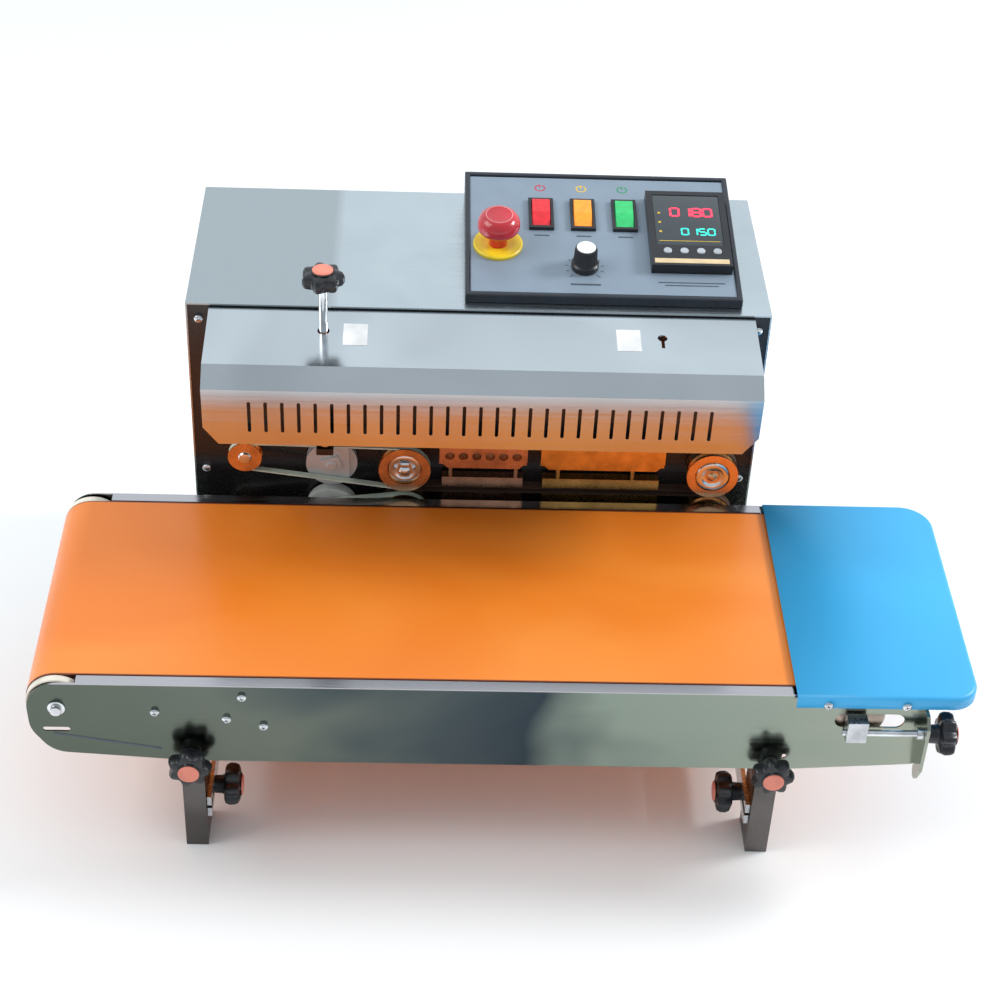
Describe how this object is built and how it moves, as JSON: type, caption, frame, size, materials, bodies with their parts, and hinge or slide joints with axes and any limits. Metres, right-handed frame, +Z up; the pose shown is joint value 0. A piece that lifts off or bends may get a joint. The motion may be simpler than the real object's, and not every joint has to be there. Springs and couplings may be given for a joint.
{
  "type": "continuous band sealer",
  "caption": "Tabletop continuous band sealer: belt conveyor with a blue infeed tray in front of a guarded band sealing head and a tilted control panel.",
  "frame": {"origin": "on the ground below the middle of the machine's overall box", "axes": "+X along the conveyor, to the operator's right; +Y from the operator to the back; +Z up"},
  "size_m": [0.8329, 0.542, 0.461],
  "materials": {
    "stainless": "brushed",
    "black_plate": "satin",
    "galvanised": "satin",
    "black_plastic": "satin",
    "rubber_black": "matte",
    "orange_belt": "satin",
    "blue_sheet": "gloss",
    "brass": "machined",
    "chrome": "polished",
    "steel": "machined",
    "aluminium": "machined",
    "panel_grey": "satin",
    "estop_red": "gloss",
    "estop_yellow": "gloss",
    "switch_red": "translucent",
    "switch_amber": "translucent",
    "switch_green": "translucent",
    "key_grey": "satin",
    "white_rubber": "satin",
    "band_brown": "coated glass cloth",
    "strap_green": "matte"
  },
  "bodies": {
    "main_frame": {"base_plate": "galvanised", "rubber_feet": "rubber_black", "housing_cover": "stainless", "front_plate": "black_plate", "shaft_bushes": "brass", "rear_panel": "stainless", "cable_gland": "black_plastic", "plate_screws": "chrome", "slotted_guard": "stainless", "control_box": "black_plate", "panel_face": "panel_grey", "emergency_stop_collar": "estop_yellow", "switch_bezels": "black_plastic", "temperature_controller": "black_plastic", "sealing_bands": "band_brown", "guide_straps": "strap_green", "cooling_blocks": "aluminium", "heating_blocks": "brass", "gear_motor": "black_plate", "fan_frame": "black_plastic", "base_rails": "stainless"},
    "emergency_stop": {"emergency_stop_button": "estop_red"},
    "power_rocker": {"power_switch": "switch_red"},
    "heater_rocker": {"heater_switch": "switch_amber"},
    "fan_rocker": {"fan_switch": "switch_green"},
    "speed_dial": {"speed_knob": "black_plastic"},
    "key_1": {"controller_key_1": "key_grey"},
    "key_2": {"controller_key_2": "key_grey"},
    "key_3": {"controller_key_3": "key_grey"},
    "key_4": {"controller_key_4": "key_grey"},
    "fan": {"fan_rotor": "black_plastic"},
    "pressure_adjuster": {"pressure_screw": "chrome", "pressure_knob": "black_plastic"},
    "lower_drive": {"lower_drive_wheel": "brass", "lower_drive_gear": "steel"},
    "upper_drive": {"upper_drive_wheel": "brass", "upper_drive_shaft": "chrome", "upper_drive_gear": "steel"},
    "idler": {"idler_gear": "steel"},
    "printing_roller": {"rubber_roller": "white_rubber"},
    "printing_wheel": {"embossing_wheel": "steel"},
    "upper_idle": {"upper_idle_wheel": "brass"},
    "lower_idle": {"lower_idle_wheel": "brass"},
    "upper_guide": {"upper_guide_wheel": "brass"},
    "lower_guide": {"lower_guide_wheel": "brass"},
    "support": {"support_legs": "stainless"},
    "left_reach_clamp": {"left_reach_knob": "black_plastic"},
    "right_reach_clamp": {"right_reach_knob": "black_plastic"},
    "conveyor": {"conveyor_side_plates": "stainless", "slider_bed": "galvanised", "conveyor_belt": "orange_belt", "infeed_tray": "blue_sheet", "conveyor_screws": "chrome"},
    "left_height_clamp": {"left_height_knob": "black_plastic"},
    "right_height_clamp": {"right_height_knob": "black_plastic"},
    "conveyor_drive_roller": {"drive_roller": "aluminium"},
    "take_up": {"take_up_blocks": "steel"},
    "conveyor_tension_roller": {"tension_roller": "aluminium"},
    "tension_adjuster": {"tension_rod": "chrome", "tension_knob": "black_plastic"}
  },
  "joints": [
    {"name": "emergency_stop_press", "type": "slide", "parent": "main_frame", "child": "emergency_stop", "axis": [0, 0.1346, -0.9909], "range_m": [0, 0.004]},
    {"name": "power_switch_rock", "type": "hinge", "parent": "main_frame", "child": "power_rocker", "pos_m": [0.0345, 0.18083, 0.42779], "axis": [1, 0, 0], "range_deg": [-20, 0]},
    {"name": "heater_switch_rock", "type": "hinge", "parent": "main_frame", "child": "heater_rocker", "pos_m": [0.0745, 0.18083, 0.42779], "axis": [1, 0, 0], "range_deg": [-20, 0]},
    {"name": "fan_switch_rock", "type": "hinge", "parent": "main_frame", "child": "fan_rocker", "pos_m": [0.1145, 0.18083, 0.42779], "axis": [1, 0, 0], "range_deg": [-20, 0]},
    {"name": "speed_knob_turn", "type": "hinge", "parent": "main_frame", "child": "speed_dial", "pos_m": [0.0735, 0.1046, 0.41692], "axis": [0, -0.1346, 0.9909], "range_deg": [-135, 135]},
    {"name": "controller_key_1_press", "type": "slide", "parent": "main_frame", "child": "key_1", "axis": [0, 0.1346, -0.9909], "range_m": [0, 0.0008], "stiffness_N_per_m": 300},
    {"name": "controller_key_2_press", "type": "slide", "parent": "main_frame", "child": "key_2", "axis": [0, 0.1346, -0.9909], "range_m": [0, 0.0008], "stiffness_N_per_m": 300},
    {"name": "controller_key_3_press", "type": "slide", "parent": "main_frame", "child": "key_3", "axis": [0, 0.1346, -0.9909], "range_m": [0, 0.0008], "stiffness_N_per_m": 300},
    {"name": "controller_key_4_press", "type": "slide", "parent": "main_frame", "child": "key_4", "axis": [0, 0.1346, -0.9909], "range_m": [0, 0.0008], "stiffness_N_per_m": 300},
    {"name": "fan_spin", "type": "hinge", "parent": "main_frame", "child": "fan", "pos_m": [0.0855, 0.242, 0.21], "axis": [0, 1, 0], "continuous": true},
    {"name": "pressure_knob_turn", "type": "hinge", "parent": "main_frame", "child": "pressure_adjuster", "pos_m": [-0.1665, 0.018, 0.441], "axis": [0, 0, 1], "range_deg": [-360, 360]},
    {"name": "lower_drive_spin", "type": "hinge", "parent": "main_frame", "child": "lower_drive", "pos_m": [-0.0915, 0.038, 0.176], "axis": [0, 1, 0], "continuous": true},
    {"name": "upper_drive_spin", "type": "hinge", "parent": "main_frame", "child": "upper_drive", "pos_m": [-0.0915, 0.038, 0.231], "axis": [0, 1, 0], "continuous": true},
    {"name": "idler_spin", "type": "hinge", "parent": "main_frame", "child": "idler", "pos_m": [-0.1265, 0.066, 0.176], "axis": [0, 1, 0], "continuous": true},
    {"name": "rubber_roller_spin", "type": "hinge", "parent": "main_frame", "child": "printing_roller", "pos_m": [-0.1615, 0.041, 0.176], "axis": [0, 1, 0], "continuous": true},
    {"name": "embossing_wheel_spin", "type": "hinge", "parent": "main_frame", "child": "printing_wheel", "pos_m": [-0.1615, 0.041, 0.231], "axis": [0, 1, 0], "continuous": true},
    {"name": "upper_idle_spin", "type": "hinge", "parent": "main_frame", "child": "upper_idle", "pos_m": [0.2045, 0.038, 0.231], "axis": [0, 1, 0], "continuous": true},
    {"name": "lower_idle_spin", "type": "hinge", "parent": "main_frame", "child": "lower_idle", "pos_m": [0.2045, 0.038, 0.176], "axis": [0, 1, 0], "continuous": true},
    {"name": "upper_guide_spin", "type": "hinge", "parent": "main_frame", "child": "upper_guide", "pos_m": [-0.2435, 0.032, 0.243], "axis": [0, 1, 0], "continuous": true},
    {"name": "lower_guide_spin", "type": "hinge", "parent": "main_frame", "child": "lower_guide", "pos_m": [-0.2435, 0.032, 0.164], "axis": [0, 1, 0], "continuous": true},
    {"name": "conveyor_reach", "type": "slide", "parent": "main_frame", "child": "support", "axis": [0, 1, 0], "range_m": [-0.025, 0]},
    {"name": "left_reach_clamp_turn", "type": "hinge", "parent": "support", "child": "left_reach_clamp", "pos_m": [-0.2595, -0.209, 0.045], "axis": [1, 0, 0], "range_deg": [0, 360]},
    {"name": "right_reach_clamp_turn", "type": "hinge", "parent": "support", "child": "right_reach_clamp", "pos_m": [0.2265, -0.209, 0.045], "axis": [-1, 0, 0], "range_deg": [0, 360]},
    {"name": "conveyor_lift", "type": "slide", "parent": "support", "child": "conveyor", "axis": [0, 0, 1], "range_m": [-0.02, 0.01]},
    {"name": "left_height_clamp_turn", "type": "hinge", "parent": "conveyor", "child": "left_height_clamp", "pos_m": [-0.2745, -0.244, 0.118], "axis": [0, -1, 0], "range_deg": [0, 360]},
    {"name": "right_height_clamp_turn", "type": "hinge", "parent": "conveyor", "child": "right_height_clamp", "pos_m": [0.2415, -0.244, 0.118], "axis": [0, -1, 0], "range_deg": [0, 360]},
    {"name": "conveyor_drive_spin", "type": "hinge", "parent": "conveyor", "child": "conveyor_drive_roller", "pos_m": [-0.3885, -0.11, 0.172], "axis": [0, 1, 0], "continuous": true},
    {"name": "take_up_slide", "type": "slide", "parent": "conveyor", "child": "take_up", "axis": [1, 0, 0], "range_m": [-0.008, 0]},
    {"name": "conveyor_tension_spin", "type": "hinge", "parent": "take_up", "child": "conveyor_tension_roller", "pos_m": [0.3105, -0.11, 0.172], "axis": [0, 1, 0], "continuous": true},
    {"name": "tension_knob_turn", "type": "hinge", "parent": "conveyor", "child": "tension_adjuster", "pos_m": [0.3735, -0.253, 0.165], "axis": [1, 0, 0], "range_deg": [-360, 360]}
  ],
  "couplings": [
    {"joint": "upper_drive_spin", "follows": "lower_drive_spin", "ratio": -1},
    {"joint": "idler_spin", "follows": "lower_drive_spin", "ratio": -3.6667},
    {"joint": "rubber_roller_spin", "follows": "lower_drive_spin", "ratio": 1},
    {"joint": "embossing_wheel_spin", "follows": "lower_drive_spin", "ratio": -1},
    {"joint": "upper_idle_spin", "follows": "lower_drive_spin", "ratio": -1},
    {"joint": "lower_idle_spin", "follows": "lower_drive_spin", "ratio": 1},
    {"joint": "upper_guide_spin", "follows": "lower_drive_spin", "ratio": -1.6081},
    {"joint": "lower_guide_spin", "follows": "lower_drive_spin", "ratio": 1.6081},
    {"joint": "conveyor_drive_spin", "follows": "lower_drive_spin", "ratio": 0.8929},
    {"joint": "conveyor_tension_spin", "follows": "lower_drive_spin", "ratio": 0.8929}
  ]
}
